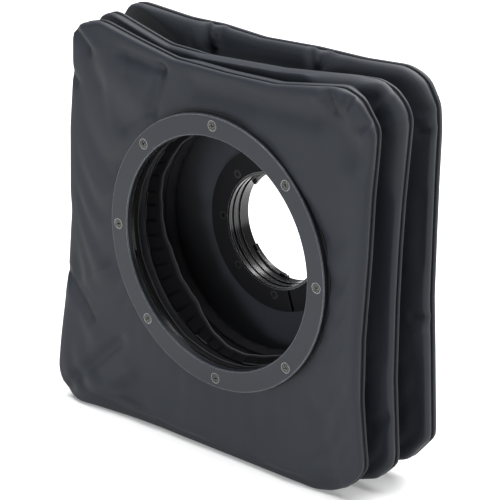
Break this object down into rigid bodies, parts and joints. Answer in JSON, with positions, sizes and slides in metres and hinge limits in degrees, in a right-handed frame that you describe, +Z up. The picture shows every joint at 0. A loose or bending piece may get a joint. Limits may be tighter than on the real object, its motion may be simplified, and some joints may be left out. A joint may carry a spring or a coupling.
{
  "type": "bag bellows",
  "caption": "Soft pleated bag bellows for a view camera, clamped between a large screwed front ring and a small rear bayonet mount; extends, tilts, swings, rises and shifts.",
  "frame": {"origin": "centre of the front ring's bore where its straight wall starts, 0.4 mm behind the ring's front face", "axes": "+Y along the optical axis from the front ring towards the rear mount, +Z up, +X to the right seen from the front"},
  "size_m": [0.186, 0.0536, 0.193],
  "materials": {
    "ring_anodised": "satin black anodised",
    "gasket_rubber": "matte black",
    "clamp_black": "matte black",
    "flange_anodised": "satin black anodised",
    "bayonet_metal": "semi-gloss black",
    "screw_nickel": "bright nickel",
    "spring_steel": "polished",
    "dot_enamel": "glossy red enamel",
    "bellows_cloth": "matte rubberised",
    "welt_cloth": "matte rubberised",
    "neck_cloth": "matte black"
  },
  "bodies": {
    "front_mount": {"front_ring": "ring_anodised", "front_gasket": "gasket_rubber", "front_backing_ring": "clamp_black", "front_bore_wire": "spring_steel", "front_ring_screws": "screw_nickel"},
    "lobe_1": {"lobe_1_front_panel": "bellows_cloth", "lobe_1_rear_panel": "bellows_cloth", "lobe_1_edge_welt": "welt_cloth"},
    "neck_1": {"neck_1_tape": "neck_cloth"},
    "lobe_2": {"lobe_2_front_panel": "bellows_cloth", "lobe_2_rear_panel": "bellows_cloth", "lobe_2_edge_welt": "welt_cloth"},
    "neck_2": {"neck_2_tape": "neck_cloth"},
    "lobe_3": {"lobe_3_front_panel": "bellows_cloth", "lobe_3_rear_panel": "bellows_cloth", "lobe_3_edge_welt": "welt_cloth"},
    "rear_mount": {"rear_clamp_ring": "clamp_black", "rear_clamp_segment": "clamp_black", "rear_clamp_screws": "screw_nickel", "rear_flange": "flange_anodised", "rear_bayonet_ring": "bayonet_metal", "rear_face_screws": "screw_nickel", "bayonet_leaf_springs": "spring_steel", "bayonet_stop_pin": "spring_steel", "index_dot": "dot_enamel", "lock_pin_spring": "spring_steel"},
    "release": {"lock_pin": "spring_steel", "release_tab": "ring_anodised"}
  },
  "joints": [
    {"name": "bag_tilt", "type": "hinge", "parent": "front_mount", "child": "lobe_1", "pos_m": [0, 0.0036, 0], "axis": [1, 0, 0], "range_deg": [-4, 4], "deforming": ["lobe_1_front_panel"]},
    {"name": "bag_extension_front", "type": "slide", "parent": "lobe_1", "child": "neck_1", "axis": [0, 1, 0], "range_m": [0, 0.015], "deforming": ["lobe_1_rear_panel"]},
    {"name": "bag_swing", "type": "hinge", "parent": "neck_1", "child": "lobe_2", "pos_m": [0, 0.017, 0], "axis": [0, 0, 1], "range_deg": [-4, 4], "deforming": ["lobe_2_front_panel"]},
    {"name": "bag_extension_rear", "type": "slide", "parent": "lobe_2", "child": "neck_2", "axis": [0, 1, 0], "range_m": [0, 0.015], "deforming": ["lobe_2_rear_panel"]},
    {"name": "bag_rise", "type": "slide", "parent": "neck_2", "child": "lobe_3", "axis": [0, 0, 1], "range_m": [-0.012, 0.012], "deforming": ["lobe_3_front_panel"]},
    {"name": "bag_shift", "type": "slide", "parent": "lobe_3", "child": "rear_mount", "axis": [1, 0, 0], "range_m": [-0.012, 0.012], "deforming": ["lobe_3_rear_panel"]},
    {"name": "release_draw", "type": "slide", "parent": "rear_mount", "child": "release", "axis": [0, -1, 0], "range_m": [0, 0.0015], "stiffness_N_per_m": 500, "springref_m": -0.0015, "deforming": ["lock_pin_spring"]}
  ],
  "couplings": [
    {"joint": "bag_extension_rear", "follows": "bag_extension_front", "ratio": 1}
  ]
}
